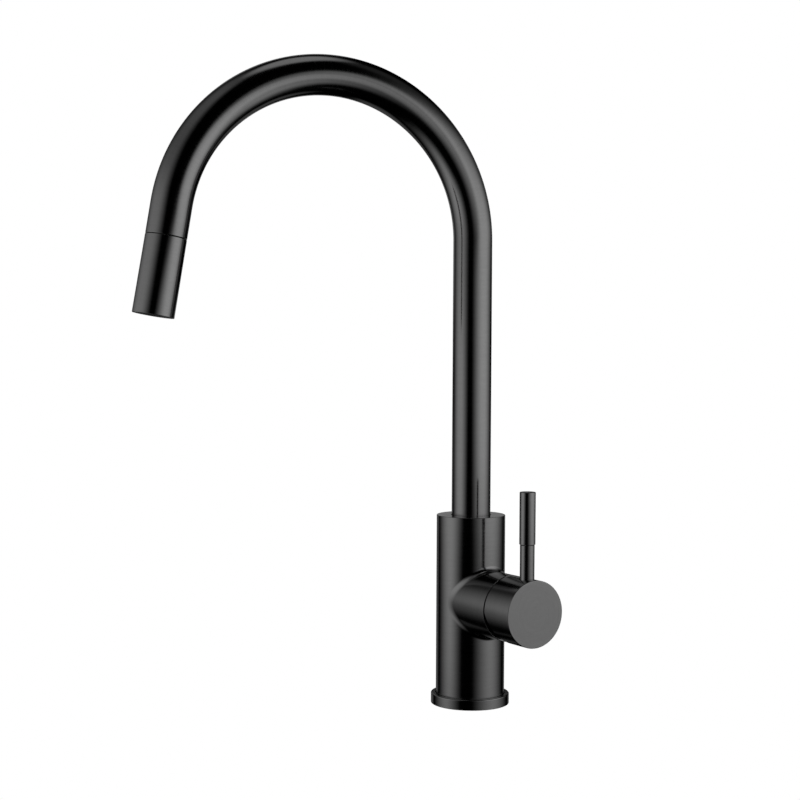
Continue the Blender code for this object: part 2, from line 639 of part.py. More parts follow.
build_base()
build_clamp()
build_body()
build_spout_bearing()
build_valve_block()
build_cartridge()
build_dome_cover()
build_driver()
build_moving_disc()
build_stem()
build_knob()
build_lever()
build_spout()
build_dock()
build_hose_end()
build_head()
build_outlet()
build_waterways()
for piece in list(PARTS.objects):
    smooth(piece)
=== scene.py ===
"""Looks of the pull-down kitchen faucet: smooth turned pieces and brushed dark metal.

Everything is in metres in the row frame: the flange stands on z = 0, the valve branch points
along +X and -Y is the front. Lengths written with MM repeat the CAD's own dimensions.
"""

import math

import bpy
from mathutils import Matrix, Vector


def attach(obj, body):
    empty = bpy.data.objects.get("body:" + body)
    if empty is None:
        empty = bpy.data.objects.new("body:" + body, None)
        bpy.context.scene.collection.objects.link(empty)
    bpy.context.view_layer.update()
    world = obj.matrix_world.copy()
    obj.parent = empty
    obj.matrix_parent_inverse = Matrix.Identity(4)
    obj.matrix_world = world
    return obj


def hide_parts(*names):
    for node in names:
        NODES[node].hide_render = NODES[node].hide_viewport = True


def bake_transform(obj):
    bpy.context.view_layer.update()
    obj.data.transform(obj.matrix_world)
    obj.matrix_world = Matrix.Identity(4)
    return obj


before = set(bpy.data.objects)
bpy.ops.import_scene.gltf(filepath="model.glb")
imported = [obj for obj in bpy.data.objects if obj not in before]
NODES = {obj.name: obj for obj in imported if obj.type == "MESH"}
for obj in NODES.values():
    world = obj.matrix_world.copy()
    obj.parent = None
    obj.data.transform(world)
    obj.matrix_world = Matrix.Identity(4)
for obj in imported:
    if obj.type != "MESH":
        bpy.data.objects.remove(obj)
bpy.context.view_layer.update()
MM = 0.001
GAP = 0.3 * MM

# The camera stands at about half the faucet's height and looks slightly down
CAMERA_PLACE = (0.9223, -0.6450, 0.2600)
CAMERA_YAW = math.radians(57.67)
CAMERA_PITCH = math.radians(87.92)
CAMERA_ROLL = math.radians(0.28)
CAMERA_LENS = 70.155

# The studio's lights stand about this far from the middle of the faucet
DOME_CENTRE = (0.0, -0.05, 0.28)
DOME_RADIUS = 0.75
OVERHEAD_TURN = math.radians(-130.0)
OVERHEAD_HEIGHT = math.radians(87.0)
DIFFUSE_FILL = 0.5

# Dimensions of the CAD that the smooth pieces share
FLANGE_RADIUS = 28.3 * MM
FLANGE_HEIGHT = 7.4 * MM
FLANGE_FLOOR = 3.0 * MM
BODY_RADIUS = 24.75 * MM
BODY_BORE = 22.0 * MM
BODY_BOTTOM = 3.3 * MM
BODY_TOP = 136.6 * MM
LID_BOTTOM = 133.0 * MM
LID_BORE = 14.5 * MM
VALVE_HEIGHT = 75.2 * MM
BRANCH_RADIUS = 23.35 * MM
BRANCH_BORE = 20.2 * MM
BRANCH_REACH = 48.8 * MM
FILLET_WIDTH = 3.6 * MM
PIVOT_REACH = 40.0 * MM
KNOB_BACK = 50.0 * MM
KNOB_FACE = 77.3 * MM
KNOB_HOLLOW = 20.3 * MM
TILT_RANGE = math.radians(22.5)
LEVER_REACH = 67.7 * MM
LEVER_RADIUS = 5.05 * MM
LEVER_TOP = 46.8 * MM
GRIP_RADIUS = 5.55 * MM
GRIP_TOP = 83.3 * MM
SPOUT_TURN = math.radians(-10.4)
TUBE_RADIUS = 14.0 * MM
TUBE_INSIDE = 12.8 * MM
TUBE_BOTTOM = 118.0 * MM
ARC_START = 333.7 * MM
ARC_RADIUS = 111.0 * MM
ARC_SWEEP = math.radians(170.44)
TAIL = 22.0 * MM
HOSE_RADIUS = 6.0 * MM
HOSE_BORE = 4.0 * MM
HOSE_SPLIT = 99.5 * MM
HOSE_OUT = 21.95 * MM
CORE_END = -40.0 * MM
SHANK_RADIUS = 16.5 * MM
SHANK_BORE = 14.5 * MM
SHANK_BOTTOM = -62.0 * MM
HEAD_END = -53.35 * MM
HEAD_END_RADIUS = 14.2 * MM

# How the smooth pieces are meshed
SIDES = 144
ROUND_STEPS = 5
CREASE_ANGLE = math.radians(35.0)
FLAT_ENOUGH = 0.99999
ON_CYLINDER = 0.02 * MM
ON_AXIS = 1e-9
PAST = 5.0 * MM
UV_NAME = "Turned"


def add_camera():
    lens = bpy.data.cameras.new("camera")
    lens.lens = CAMERA_LENS
    lens.sensor_width = 36.0
    lens.clip_start, lens.clip_end = 0.01, 50.0
    camera = bpy.data.objects.new("camera", lens)
    turn = (Matrix.Rotation(CAMERA_YAW, 4, "Z") @ Matrix.Rotation(CAMERA_PITCH, 4, "X")
            @ Matrix.Rotation(CAMERA_ROLL, 4, "Z"))
    camera.matrix_world = Matrix.Translation(CAMERA_PLACE) @ turn
    bpy.context.scene.collection.objects.link(camera)
    bpy.context.scene.camera = camera


add_camera()


# Node graphs

def add(tree, kind, values=None, **settings):
    """A node with its settings. Values are constants or the sockets that feed its inputs."""
    made = tree.nodes.new(kind)
    for key, value in settings.items():
        setattr(made, key, value)
    for key, value in (values or {}).items():
        if isinstance(value, bpy.types.NodeSocket):
            tree.links.new(value, made.inputs[key])
        else:
            made.inputs[key].default_value = value
    return made


def maths(tree, operation, *values, clamp=False):
    made = add(tree, "ShaderNodeMath", dict(enumerate(values)), operation=operation)
    made.use_clamp = clamp
    return made.outputs[0]


def ramp(tree, value, start, end, low=0.0, high=1.0):
    """Goes smoothly from low at start to high at end."""
    made = add(tree, "ShaderNodeMapRange", {
        "Value": value, "From Min": start, "From Max": end, "To Min": low, "To Max": high,
    }, interpolation_type="SMOOTHSTEP")
    return made.outputs["Result"]


# Studio light

def soft_light(tree, edges, strength):
    """A soft-edged light. Each edge is (angle, dark, full): the angle in degrees at both ends."""
    light = None
    for angle, dark, full in edges:
        edge = ramp(tree, angle, dark, full)
        light = edge if light is None else maths(tree, "MULTIPLY", light, edge)
    return maths(tree, "MULTIPLY", light, strength)


def add_backdrop():
    """White wherever the camera looks past the object, and no light of its own."""
    scene = bpy.context.scene
    scene.view_settings.view_transform = "Standard"
    scene.world = bpy.data.worlds.new("backdrop")
    scene.world.use_nodes = True
    tree = scene.world.node_tree
    tree.nodes.clear()
    rays = add(tree, "ShaderNodeLightPath")
    shade = add(tree, "ShaderNodeBackground", {
        "Color": (1.0, 1.0, 1.0, 1.0), "Strength": rays.outputs["Is Camera Ray"]})
    end = add(tree, "ShaderNodeOutputWorld")
    tree.links.new(shade.outputs[0], end.inputs["Surface"])


def add_stage_mesh(name, points, faces, strength):
    """A glowing surface of the studio. The tree's strength is made by the given function."""
    mesh = bpy.data.meshes.new(name)
    mesh.from_pydata(points, [], faces)
    made = bpy.data.objects.new(name, mesh)
    bpy.context.scene.collection.objects.link(made)
    look = bpy.data.materials.new(name)
    look.use_nodes = True
    tree = look.node_tree
    tree.nodes.clear()
    glow = add(tree, "ShaderNodeEmission", {"Color": (1.0, 1.0, 1.0, 1.0),
                                            "Strength": strength(tree)})
    end = add(tree, "ShaderNodeOutputMaterial")
    tree.links.new(glow.outputs[0], end.inputs["Surface"])
    mesh.materials.append(look)
    return made


def dome_strength(tree):
    """Tall soft lights left and right of the camera, and weaker ones above and behind."""
    place = add(tree, "ShaderNodeNewGeometry").outputs["Position"]
    offset = add(tree, "ShaderNodeVectorMath", {0: place, 1: DOME_CENTRE}, operation="SUBTRACT")
    direction = add(tree, "ShaderNodeVectorMath", {0: offset.outputs["Vector"]},
                    operation="NORMALIZE").outputs["Vector"]

    def along(axis):
        made = add(tree, "ShaderNodeVectorMath", {0: direction, 1: axis}, operation="DOT_PRODUCT")
        return made.outputs["Value"]

    # Around is 0 behind the camera and grows to its right; up is the height above the horizon
    around = maths(tree, "DEGREES", maths(
        tree, "ARCTAN2", along((math.cos(CAMERA_YAW), math.sin(CAMERA_YAW), 0.0)),
        along((math.sin(CAMERA_YAW), -math.cos(CAMERA_YAW), 0.0))))
    up = maths(tree, "DEGREES", maths(tree, "ARCSINE", along((0.0, 0.0, 1.0))))
    behind = maths(tree, "ABSOLUTE", around)
    # Low down both side lights draw in, and high up the right one starts further round
    low = ramp(tree, up, -10.0, -28.0, 0.0, 8.0)
    drawn_back, drawn_on = maths(tree, "SUBTRACT", around, low), maths(tree, "ADD", around, low)
    high_lean = maths(tree, "SUBTRACT", around, ramp(tree, up, 20.0, 44.0, 0.0, 26.0))
    height, turn = OVERHEAD_HEIGHT, CAMERA_YAW + OVERHEAD_TURN - math.radians(90.0)
    overhead = maths(tree, "DEGREES", maths(tree, "ARCCOSINE", along((
        math.cos(height) * math.cos(turn), math.cos(height) * math.sin(turn), math.sin(height)))))
    right_low = ((drawn_back, -3.0, 66.0), (drawn_on, 138.0, 78.0), (up, 12.0, 4.0))
    lights = (
        # Right: two below the horizon, and the main one above it
        soft_light(tree, (*right_low, (up, -57.0, -29.0)), 0.67),
        soft_light(tree, (*right_low, (up, -25.0, -7.0)), 0.41),
        soft_light(tree, ((high_lean, 21.0, 55.0), (around, 146.0, 82.0), (up, 4.0, 12.0),
                          (up, 54.0, 10.0)), 1.06),
        # Left: the main one, and a weak one above it
        soft_light(tree, ((drawn_on, -19.0, -70.0), (drawn_back, -142.0, -82.0),
                          (up, -66.0, -18.0), (up, 40.0, -8.0)), 0.81),
        soft_light(tree, ((around, -22.0, -62.0), (around, -142.0, -84.0), (up, 0.0, 24.0),
                          (up, 80.0, 60.0)), 0.23),
        # High on the right, then far round on the left and on the right
        soft_light(tree, ((around, 50.0, 84.0), (around, 134.0, 100.0), (up, 40.0, 52.0),
                          (up, 84.0, 66.0)), 0.05),
        soft_light(tree, ((around, -130.0, -152.0), (up, -8.0, 8.0), (up, 56.0, 44.0)), 0.28),
        soft_light(tree, ((around, 128.0, 146.0), (up, 0.0, 12.0), (up, 40.0, 26.0)), 0.09),
        # Behind the faucet: a strip that the body's top mirrors, and one for the rear views
        soft_light(tree, ((behind, 167.0, 172.0), (up, -8.5, -6.0), (up, 1.0, -3.0)), 0.30),
        soft_light(tree, ((behind, 138.0, 151.0), (behind, 171.0, 162.0), (up, -56.0, -36.0),
                          (up, -2.0, -14.0)), 0.15),
        soft_light(tree, ((overhead, 21.0, 10.0),), 0.60),
    )
    total = lights[0]
    for light in lights[1:]:
        total = maths(tree, "ADD", total, light)
    rays = add(tree, "ShaderNodeLightPath")
    fill = maths(tree, "MULTIPLY", rays.outputs["Is Diffuse Ray"], DIFFUSE_FILL)
    return maths(tree, "ADD", total, fill)


def add_dome():
    """The studio's lights, on a sphere about the faucet that the camera doesn't see."""
    rows, columns = 24, 48
    points = [(DOME_CENTRE[0], DOME_CENTRE[1], DOME_CENTRE[2] + DOME_RADIUS * way)
              for way in (-1.0, 1.0)]
    for i in range(1, rows):
        tilt = math.pi * i / rows - math.pi / 2.0
        for j in range(columns):
            turn = 2.0 * math.pi * j / columns
            points.append((DOME_CENTRE[0] + DOME_RADIUS * math.cos(tilt) * math.cos(turn),
                           DOME_CENTRE[1] + DOME_RADIUS * math.cos(tilt) * math.sin(turn),
                           DOME_CENTRE[2] + DOME_RADIUS * math.sin(tilt)))
    faces = []
    for j in range(columns):
        after = (j + 1) % columns
        faces.append((0, 2 + after, 2 + j))
        top = 2 + (rows - 2) * columns
        faces.append((1, top + j, top + after))
        for i in range(rows - 2):
            low = 2 + i * columns
            faces.append((low + j, low + after, low + columns + after, low + columns + j))
    dome = add_stage_mesh("light_dome", points, faces, dome_strength)
    dome.visible_camera = False
    dome.visible_shadow = False


def add_floor():
    """A plain pale floor, which the metal doesn't mirror."""
    half, below = 3.0, -0.1 * MM
    floor = add_stage_mesh("floor", [(-half, -half, below), (half, -half, below),
                                     (half, half, below), (-half, half, below)],
                           [(0, 1, 2, 3)], lambda tree: 1.0)
    floor.visible_diffuse = floor.visible_glossy = floor.visible_transmission = False
    floor.visible_shadow = floor.visible_volume_scatter = False


add_backdrop()
add_dome()
add_floor()


# Materials

def new_look(name, colour, roughness, metallic):
    """A material with its shader, for the graph to feed."""
    made = bpy.data.materials.new(name)
    made.use_nodes = True
    tree = made.node_tree
    shader = tree.nodes["Principled BSDF"]
    shader.inputs["Base Color"].default_value = (*colour, 1.0)
    shader.inputs["Roughness"].default_value = roughness
    shader.inputs["Metallic"].default_value = metallic
    return made, tree, shader


def vary_colour(tree, shader, amount, low, high):
    """The base colour from low to high by amount, both as multiples of the look's colour."""
    colour = shader.inputs["Base Color"].default_value[:3]
    # A colour mix takes its factor, A and B on sockets 0, 6 and 7, and gives its result on 2
    mix = add(tree, "ShaderNodeMix", {
        0: amount, 6: (*(c * low for c in colour), 1.0), 7: (*(c * high for c in colour), 1.0),
    }, data_type="RGBA")
    tree.links.new(mix.outputs[2], shader.inputs["Base Color"])


def vary_roughness(tree, shader, amount, low, high):
    made = add(tree, "ShaderNodeMapRange", {"Value": amount, "To Min": low, "To Max": high})
    tree.links.new(made.outputs["Result"], shader.inputs["Roughness"])


def bump(tree, shader, height, distance):
    made = add(tree, "ShaderNodeBump", {"Height": height, "Distance": distance, "Strength": 1.0})
    tree.links.new(made.outputs["Normal"], shader.inputs["Normal"])


def noise(tree, vector, scale, detail=2.0):
    made = add(tree, "ShaderNodeTexNoise", {"Vector": vector, "Scale": scale, "Detail": detail})
    return made.outputs["Fac"]


def turned_place(tree, around, along):
    """Where a point lies on a turned piece: round its axis, and along its outline."""
    place = add(tree, "ShaderNodeSeparateXYZ",
                {0: add(tree, "ShaderNodeUVMap", uv_map=UV_NAME).outputs["UV"]})
    turn = maths(tree, "MULTIPLY", place.outputs["X"], 2.0 * math.pi)
    return add(tree, "ShaderNodeCombineXYZ", {
        "X": maths(tree, "MULTIPLY", maths(tree, "COSINE", turn), around),
        "Y": maths(tree, "MULTIPLY", maths(tree, "SINE", turn), around),
        "Z": maths(tree, "MULTIPLY", place.outputs["Y"], along),
    }).outputs["Vector"]


def brushed_metal(name, colour, roughness, depth=0.9e-6):
    """Metal brushed on the lathe: fine lines run round the piece."""
    made, tree, shader = new_look(name, colour, roughness, 1.0)
    fine = noise(tree, turned_place(tree, 2.5, 3200.0), 1.0)
    broad = noise(tree, turned_place(tree, 1.2, 520.0), 1.0, 3.0)
    lines = maths(tree, "ADD", maths(tree, "MULTIPLY", fine, 0.6),
                  maths(tree, "MULTIPLY", broad, 0.4))
    spread = ramp(tree, lines, 0.35, 0.65)
    vary_colour(tree, shader, spread, 0.96, 1.04)
    vary_roughness(tree, shader, spread, roughness * 0.85, roughness * 1.15)
    bump(tree, shader, lines, depth)
    return made


def cast_look(name, colour, roughness, metallic, grain, depth, spread=0.08):
    """A plain cast, moulded or drawn surface with faint grain, placed in the row frame."""
    made, tree, shader = new_look(name, colour, roughness, metallic)
    place = add(tree, "ShaderNodeTexCoord").outputs["Object"]
    speckle = noise(tree, place, grain, 4.0)
    patches = noise(tree, place, grain * 0.08, 2.0)
    amount = maths(tree, "ADD", maths(tree, "MULTIPLY", speckle, 0.5),
                   maths(tree, "MULTIPLY", patches, 0.5))
    spread_out = ramp(tree, amount, 0.35, 0.65)
    vary_colour(tree, shader, spread_out, 1.0 - spread, 1.0 + spread)
    vary_roughness(tree, shader, spread_out, roughness * 0.88, min(1.0, roughness * 1.12))
    bump(tree, shader, speckle, depth)
    return made


def braided(name, colour):
    """Nylon braid: two families of strands that pass over and under each other, with painted shade that
    darkens each strand towards its edges and the grooves between strands.
    """
    made, tree, shader = new_look(name, colour, 0.5, 0.0)
    shader.inputs["Sheen Weight"].default_value = 0.3
    place = add(tree, "ShaderNodeSeparateXYZ",
                {0: add(tree, "ShaderNodeUVMap", uv_map=UV_NAME).outputs["UV"]})
    height = add(tree, "ShaderNodeSeparateXYZ",
                 {0: add(tree, "ShaderNodeTexCoord").outputs["Object"]}).outputs["Z"]
    strands = 12.0
    around = maths(tree, "MULTIPLY", place.outputs["X"], 2.0 * math.pi * strands)
    along = maths(tree, "MULTIPLY", height, math.pi * 2.0 / (3.1 * MM))
    right, left = maths(tree, "ADD", around, along), maths(tree, "SUBTRACT", around, along)
    waves = [maths(tree, "SINE", maths(tree, "MULTIPLY", way, 0.5)) for way in (right, left)]
    rounds = [maths(tree, "SUBTRACT", 1.0, maths(tree, "MULTIPLY", wave, wave)) for wave in waves]
    over = maths(tree, "GREATER_THAN", maths(tree, "SINE", maths(tree, "MULTIPLY", along, 0.5)), 0.0)
    under = maths(tree, "SUBTRACT", 1.0, over)
    weave_and_shade = maths(tree, "ADD", maths(tree, "MULTIPLY", rounds[0], over),
                  maths(tree, "MULTIPLY", rounds[1], under))
    # Painted shade: the colour runs from 0.35 times at each strand's edges and in the grooves to 1.25
    # times on its crown, while the roughness and bump follow the real weave.
    vary_colour(tree, shader, weave_and_shade, 0.35, 1.25)
    vary_roughness(tree, shader, weave_and_shade, 0.7, 0.45)
    bump(tree, shader, weave_and_shade, 0.35 * MM)
    return made


LOOKS = {
    "gunmetal": brushed_metal("brushed_gunmetal", (0.20, 0.20, 0.20), 0.14),
    "steel": cast_look("drawn_steel", (0.55, 0.55, 0.56), 0.32, 1.0, 900.0, 3.0e-6),
    "brass": cast_look("cast_brass", (0.62, 0.45, 0.20), 0.34, 1.0, 700.0, 6.0e-6),
    "ceramic": cast_look("ceramic", (0.80, 0.78, 0.74), 0.20, 0.0, 500.0, 1.0e-6, 0.03),
    "black_plastic": cast_look("black_plastic", (0.012, 0.012, 0.012), 0.42, 0.0, 2500.0, 5.0e-6, 0.2),
    "white_plastic": cast_look("white_plastic", (0.70, 0.70, 0.68), 0.40, 0.0, 1500.0, 3.0e-6, 0.03),
    "rubber": cast_look("rubber", (0.018, 0.018, 0.018), 0.75, 0.0, 1800.0, 1.2e-5, 0.2),
    "magnet": cast_look("magnet", (0.06, 0.06, 0.07), 0.5, 1.0, 1400.0, 8.0e-6, 0.15),
    "hose_braid": braided("hose_braid", (0.20, 0.20, 0.21)),
}


# Turned shapes

class Straight:
    """A straight axis to turn an outline about, from its origin."""

    def __init__(self, origin, axis, side):
        self.origin, self.axis, self.side = Vector(origin), Vector(axis), Vector(side)

    def at(self, height):
        third = self.axis.cross(self.side)
        return self.origin + self.axis * height, self.side, third, self.axis


UPRIGHT = Straight((0.0, 0.0, 0.0), (0.0, 0.0, 1.0), (1.0, 0.0, 0.0))
VALVE = Straight((0.0, 0.0, VALVE_HEIGHT), (1.0, 0.0, 0.0), (0.0, 0.0, -1.0))
LEVER = Straight((LEVER_REACH, 0.0, VALVE_HEIGHT), (0.0, 0.0, 1.0), (1.0, 0.0, 0.0))


class Gooseneck:
    """The spout's own centre line: up, over the arc and down to the seam with the head."""

    rise = ARC_START - TUBE_BOTTOM
    bend = ARC_RADIUS * ARC_SWEEP
    length = rise + bend + TAIL
    turn = Matrix.Rotation(SPOUT_TURN, 3, "Z")

    def at(self, height):
        angle = min(max((height - self.rise) / ARC_RADIUS, 0.0), ARC_SWEEP)
        axis = Vector((0.0, -math.sin(angle), math.cos(angle)))
        out = ARC_RADIUS * (1.0 - math.cos(angle))
        point = Vector((0.0, -out, ARC_START + ARC_RADIUS * math.sin(angle)))
        spare = height - self.rise - ARC_RADIUS * angle
        point += axis * spare
        side = Vector((1.0, 0.0, 0.0))
        return tuple(self.turn @ v for v in (point, side, axis.cross(side), axis))


SPOUT = Gooseneck()
SEAM, SEAM_SIDE, _, SEAM_DOWN = SPOUT.at(SPOUT.length)
OUTLET = Straight(SEAM, -SEAM_DOWN, SEAM_SIDE)


def rounded(outline, closed):
    """The outline's pieces as (point, normal, point, normal), with each corner's round put in.

    An outline is a list of (radius, height) or (radius, height, round) that runs down the outer
    side, so its normal is on the left of the way it runs.
    """
    corners = [Vector(p[:2]) for p in outline]
    rounds = [p[2] if len(p) > 2 else 0.0 for p in outline]
    count = len(corners)
    stops = []
    for i, (corner, size) in enumerate(zip(corners, rounds)):
        if size == 0.0:
            stops.append([(corner, None)])
            continue
        back = (corners[i - 1] - corner).normalized()
        on = (corners[(i + 1) % count] - corner).normalized()
        half = back.angle(on) / 2.0
        start, end = corner + back * (size / math.tan(half)), corner + on * (size / math.tan(half))
        centre = corner + (back + on).normalized() * (size / math.sin(half))
        first, last = start - centre, end - centre
        begin = math.atan2(first.y, first.x)
        sweep = math.atan2(first.x * last.y - first.y * last.x, first.dot(last))
        outward = 1.0 if sweep < 0.0 else -1.0
        stops.append([])
        for k in range(ROUND_STEPS + 1):
            angle = begin + sweep * k / ROUND_STEPS
            way = Vector((math.cos(angle), math.sin(angle)))
            stops[-1].append((centre + way * size, way * outward))
    pieces = []
    for i in range(count if closed else count - 1):
        for (a, na), (b, nb) in zip(stops[i], stops[i][1:]):
            pieces.append((a, na, b, nb))
        start, end = stops[i][-1][0], stops[(i + 1) % count][0][0]
        run = (end - start).normalized()
        normal = Vector((-run.y, run.x))
        pieces.append((start, normal, end, normal))
    return pieces


def finish_piece(piece, body, nodes=()):
    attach(piece, body)
    if nodes:
        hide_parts(*nodes)
    return piece


def revolve(name, outline, axis=UPRIGHT, look="gunmetal", sides=SIDES, stride=None):
    """A smooth piece turned about an axis or along a path, with its true normals and UVs."""
    closed = outline[0][0] > 0.0 and outline[-1][0] > 0.0
    pieces = rounded(outline, closed)
    if stride:
        cut_up = []
        for a, na, b, nb in pieces:
            count = max(1, math.ceil((b - a).length / stride))
            points = [a.lerp(b, k / count) for k in range(count + 1)]
            cut_up += [(p, na, q, nb) for p, q in zip(points, points[1:])]
        pieces = cut_up
    points, faces, normals, uvs = [], [], [], []

    def add_row(point):
        centre, side, third, _ = axis.at(point.y)
        start = len(points)
        if point.x < ON_AXIS:
            points.append(centre)
            return [start] * (sides + 1)
        for j in range(sides):
            turn = 2.0 * math.pi * j / sides
            points.append(centre + (side * math.cos(turn) + third * math.sin(turn)) * point.x)
        return [*range(start, start + sides), start]

    def normal_at(height, normal, j):
        _, side, third, along = axis.at(height)
        turn = 2.0 * math.pi * j / sides
        out = side * math.cos(turn) + third * math.sin(turn)
        return (out * normal.x + along * normal.y).normalized()

    rows = [add_row(pieces[0][0])]
    for k, (_, _, b, _) in enumerate(pieces):
        rows.append(rows[0] if closed and k == len(pieces) - 1 else add_row(b))
    run = 0.0
    for k, (a, na, b, nb) in enumerate(pieces):
        upper, lower = rows[k], rows[k + 1]
        length = (b - a).length
        for j in range(sides):
            corners = [(upper[j], a.y, na, j, run), (lower[j], b.y, nb, j, run + length),
                       (lower[j + 1], b.y, nb, j + 1, run + length),
                       (upper[j + 1], a.y, na, j + 1, run)]
            if a.x < ON_AXIS:
                corners.pop()
            elif b.x < ON_AXIS:
                corners.pop(2)
            faces.append([c[0] for c in corners])
            for _, height, normal, column, far in corners:
                normals.append(normal_at(height, normal, column))
                uvs.append((column / sides, far))
        run += length
    return build(name, points, faces, normals, uvs, look)


def build(name, points, faces, normals, uvs, look):
    """A piece from its mesh data. Normals and UVs are one for each corner of each face."""
    mesh = bpy.data.meshes.new(name)
    mesh.from_pydata([tuple(p) for p in points], [], faces)
    mesh.shade_smooth()
    layer = mesh.uv_layers.new(name=UV_NAME)
    layer.data.foreach_set("uv", [value for uv in uvs for value in uv])
    if normals:
        mesh.normals_split_custom_set([tuple(n) for n in normals])
    mesh.materials.append(LOOKS[look])
    made = bpy.data.objects.new(name, mesh)
    bpy.context.scene.collection.objects.link(made)
    return made


def carve(piece, tool, operation="DIFFERENCE"):
    """Cuts the tool from the piece, or joins it on, and puts the result in the piece's mesh."""
    step = piece.modifiers.new("Carve", "BOOLEAN")
    step.operation = operation
    step.solver = "EXACT"
    step.object = tool
    graph = bpy.context.evaluated_depsgraph_get()
    mesh = bpy.data.meshes.new_from_object(piece.evaluated_get(graph))
    piece.modifiers.clear()
    piece.data = mesh
    bpy.data.objects.remove(tool, do_unlink=True)


def true_normals(piece, rounds, flats):
    """Crisp edges by angle, with exact normals on the given cylinders and flat directions."""
    mesh = piece.data
    mesh.shade_smooth()
    mesh.set_sharp_from_angle(angle=CREASE_ANGLE)
    normals = [n.vector.copy() for n in mesh.corner_normals]
    for face in mesh.polygons:
        if any(abs(face.normal.dot(flat)) > FLAT_ENOUGH for flat in flats):
            for k in face.loop_indices:
                normals[k] = face.normal.copy()
            continue
        for axis, radius in rounds:
            outs = []
            for index in face.vertices:
                away = mesh.vertices[index].co - axis.origin
                away -= axis.axis * away.dot(axis.axis)
                outs.append(away)
            near = all(abs(out.length - radius) < ON_CYLINDER for out in outs)
            if near and abs(face.normal.dot(axis.axis)) < 0.2:
                sign = 1.0 if face.normal.dot(outs[0]) > 0.0 else -1.0
                for k, out in zip(face.loop_indices, outs):
                    normals[k] = out.normalized() * sign
                break
    mesh.normals_split_custom_set([tuple(n) for n in normals])


def ring(name, inner, outer, bottom, top, axis, look, sides=72, round_off=0.2 * MM):
    """A washer or a short tube whose outer edges are rounded."""
    return revolve(name, [(outer, top, round_off), (outer, bottom, round_off), (inner, bottom),
                          (inner, top)], axis, look, sides)


X_WAY, Z_WAY = Vector((1.0, 0.0, 0.0)), Vector((0.0, 0.0, 1.0))


# Base and body

def make_flange():
    flange = revolve("flange", [
        (FLANGE_RADIUS, FLANGE_HEIGHT, 0.7 * MM), (FLANGE_RADIUS, 0.0, 0.3 * MM),
        (BODY_BORE, 0.0), (BODY_BORE, FLANGE_FLOOR), (BODY_RADIUS + 0.4 * MM, FLANGE_FLOOR),
        (BODY_RADIUS + 0.4 * MM, FLANGE_HEIGHT, 0.15 * MM),
    ])
    finish_piece(flange, "faucet_body", ["base_flange"])


def branch_fillet(width, count=6):
    """The cast round between the body and the branch, as a closed sliver of surface.

    It starts as far along the branch all round, so its radius is larger at the sides.
    """
    points, faces, normals, uvs = [], [], [], []
    row = count + 2
    ways = []
    lift = Vector((0.0, 0.0, VALVE_HEIGHT))
    for j in range(SIDES):
        turn = 2.0 * math.pi * j / SIDES
        out = Vector((0.0, math.sin(turn), math.cos(turn)))
        meets = math.sqrt(BODY_RADIUS ** 2 - (BRANCH_RADIUS * out.y) ** 2)
        # The ball touches the branch at this width, and its radius solves a quadratic
        a = 1.0 - out.y ** 2
        b = BODY_RADIUS - BRANCH_RADIUS * out.y ** 2
        c = width * (2.0 * meets + width)
        radius = c / (b + math.sqrt(b * b + a * c))
        centre = out * (BRANCH_RADIUS + radius) + X_WAY * (meets + width)
        to_body = -Vector((centre.x, centre.y, 0.0)).normalized()
        arc = [(-out).slerp(to_body, k / count) for k in range(count + 1)]
        points += [centre + lift + way * radius for way in arc]
        inside = out * (BRANCH_RADIUS - 0.5 * MM)
        points.append(inside + lift + X_WAY * math.sqrt((BODY_RADIUS - 0.5 * MM) ** 2 - inside.y ** 2))
        ways.append([-way for way in arc])
    for j in range(SIDES):
        after = (j + 1) % SIDES
        for k in range(row):
            nxt = (k + 1) % row
            faces.append([j * row + k, after * row + k, after * row + nxt, j * row + nxt])
            for column, turned_on, place_on in ((j, 0, k), (after, 1, k), (after, 1, nxt), (j, 0, nxt)):
                on_arc = place_on <= count and k < count
                normals.append(ways[column][place_on] if on_arc else -ways[column][count // 2])
                uvs.append(((j + turned_on) / SIDES, place_on * width * 0.25))
    return build("fillet", points, faces, normals, uvs, "gunmetal")


def make_body():
    body = revolve("body", [
        (0.0, BODY_TOP), (BODY_RADIUS, BODY_TOP, 0.4 * MM), (BODY_RADIUS, BODY_BOTTOM),
        (0.0, BODY_BOTTOM),
    ])
    branch = revolve("branch", [
        (0.0, BRANCH_REACH), (BRANCH_RADIUS, BRANCH_REACH, 0.4 * MM), (BRANCH_RADIUS, 0.0),
        (0.0, 0.0),
    ], VALVE)
    carve(body, branch, "UNION")
    cavity = revolve("cavity", [
        (0.0, BODY_TOP + PAST), (LID_BORE, BODY_TOP + PAST), (LID_BORE, LID_BOTTOM),
        (BODY_BORE, LID_BOTTOM), (BODY_BORE, -PAST), (0.0, -PAST),
    ])
    carve(body, cavity)
    bore = revolve("bore", [(0.0, BRANCH_REACH + PAST), (BRANCH_BORE, BRANCH_REACH + PAST),
                            (BRANCH_BORE, 0.0), (0.0, 0.0)], VALVE)
    carve(body, bore)
    true_normals(body, [(UPRIGHT, BODY_RADIUS), (VALVE, BRANCH_RADIUS), (UPRIGHT, BODY_BORE),
                        (UPRIGHT, LID_BORE), (VALVE, BRANCH_BORE)], [X_WAY, Z_WAY])
    finish_piece(body, "faucet_body", ["body_shell"])


